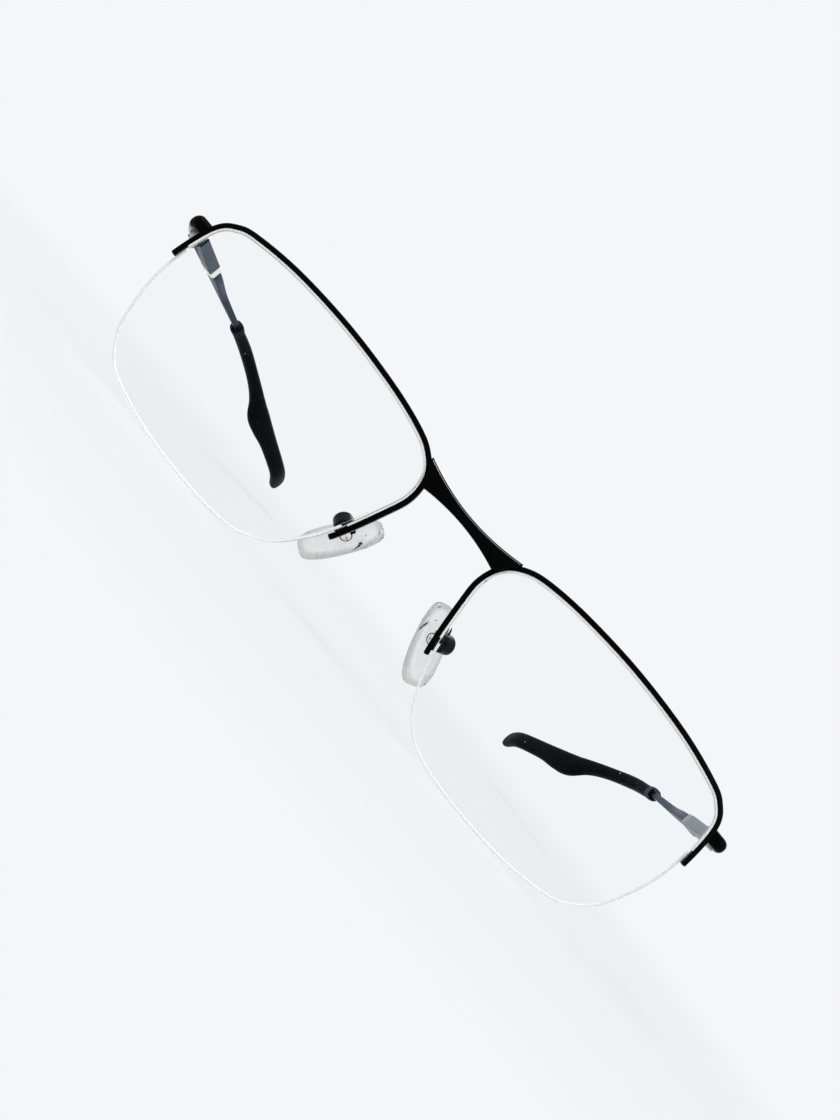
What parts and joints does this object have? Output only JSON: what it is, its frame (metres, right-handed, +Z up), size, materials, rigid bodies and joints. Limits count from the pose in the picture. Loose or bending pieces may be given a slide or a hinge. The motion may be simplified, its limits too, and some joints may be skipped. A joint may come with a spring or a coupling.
{
  "type": "eyeglass frame",
  "caption": "Half-rim metal eyeglasses: clear lenses held from below by nylon cord, screwed clear nose pads, spring-hinged slim temples and curved black temple tips.",
  "frame": {"origin": "middle of the flat front face of the bridge", "axes": "+Y from the front back along the temples, +Z up as worn, +X towards the wearer's left"},
  "size_m": [0.1384, 0.1515, 0.0376],
  "materials": {
    "black_metal": "satin black lacquer",
    "grey_metal": "dark plated, bright",
    "screw_steel": "polished",
    "spring_steel": "drawn wire",
    "brass": "turned",
    "liner": "translucent off-white",
    "nylon": "clear monofilament",
    "lens": "clear demo lens",
    "tip_plastic": "satin black",
    "pad_core": "clear hard plastic",
    "silicone": "clear soft silicone"
  },
  "bodies": {
    "front": {"bridge": "black_metal", "upper_rim_left": "black_metal", "upper_rim_right": "black_metal", "rim_liner_left": "liner", "rim_liner_right": "liner", "lens_left": "lens", "lens_right": "lens", "nylon_cord_left": "nylon", "nylon_cord_right": "nylon", "end_piece_left": "black_metal", "end_piece_right": "black_metal", "hinge_leaf_left": "black_metal", "hinge_leaf_right": "black_metal", "pad_arm_left": "grey_metal", "pad_arm_right": "grey_metal", "pad_box_left": "black_metal", "pad_box_right": "black_metal", "pad_screw_left": "screw_steel", "pad_screw_right": "screw_steel"},
    "screw_left": {"hinge_screw_left": "screw_steel"},
    "screw_right": {"hinge_screw_right": "screw_steel"},
    "carriage_left": {"hinge_slider_left": "grey_metal", "slider_nut_left": "brass"},
    "carriage_right": {"hinge_slider_right": "grey_metal", "slider_nut_right": "brass"},
    "temple_left": {"hinge_spring_left": "spring_steel", "spring_bush_left": "brass", "spring_housing_left": "grey_metal", "temple_arm_left": "grey_metal", "temple_tip_left": "tip_plastic"},
    "temple_right": {"hinge_spring_right": "spring_steel", "spring_bush_right": "brass", "spring_housing_right": "grey_metal", "temple_arm_right": "grey_metal", "temple_tip_right": "tip_plastic"},
    "pad_left": {"pad_core_left": "pad_core", "nose_pad_left": "silicone"},
    "pad_right": {"pad_core_right": "pad_core", "nose_pad_right": "silicone"}
  },
  "joints": [
    {"name": "flex_left", "type": "hinge", "parent": "front", "child": "screw_left", "pos_m": [0.06682, 0.0132, -0.00235], "axis": [0, 0.0157, 0.9999], "range_deg": [-12, 0], "stiffness_Nm_per_rad": 0.08, "springref_deg": 11.46},
    {"name": "fold_left", "type": "hinge", "parent": "screw_left", "child": "carriage_left", "pos_m": [0.06682, 0.0132, -0.00235], "axis": [0, 0.0157, 0.9999], "range_deg": [0, 81]},
    {"name": "slide_left", "type": "slide", "parent": "carriage_left", "child": "temple_left", "axis": [0, 0.9999, -0.0157], "range_m": [0, 0.0006], "deforming": ["hinge_spring_left"]},
    {"name": "rock_left", "type": "hinge", "parent": "front", "child": "pad_left", "pos_m": [0.01236, 0.0085, -0.01615], "axis": [0.5908, 0.7431, 0.3141], "range_deg": [-6, 6]},
    {"name": "flex_right", "type": "hinge", "parent": "front", "child": "screw_right", "pos_m": [-0.06682, 0.0132, -0.00355], "axis": [0, -0.0593, -0.9982], "range_deg": [-12, 0], "stiffness_Nm_per_rad": 0.08, "springref_deg": 11.46},
    {"name": "fold_right", "type": "hinge", "parent": "screw_right", "child": "carriage_right", "pos_m": [-0.06682, 0.0132, -0.00355], "axis": [0, -0.0593, -0.9982], "range_deg": [0, 73]},
    {"name": "slide_right", "type": "slide", "parent": "carriage_right", "child": "temple_right", "axis": [0, 0.9982, -0.0593], "range_m": [0, 0.0006], "deforming": ["hinge_spring_right"]},
    {"name": "rock_right", "type": "hinge", "parent": "front", "child": "pad_right", "pos_m": [-0.01236, 0.0085, -0.01615], "axis": [0.5908, -0.7431, -0.3141], "range_deg": [-6, 6]}
  ],
  "couplings": [
    {"joint": "slide_left", "follows": "flex_left", "m_per_rad": -0.0023},
    {"joint": "slide_right", "follows": "flex_right", "m_per_rad": -0.0023}
  ]
}
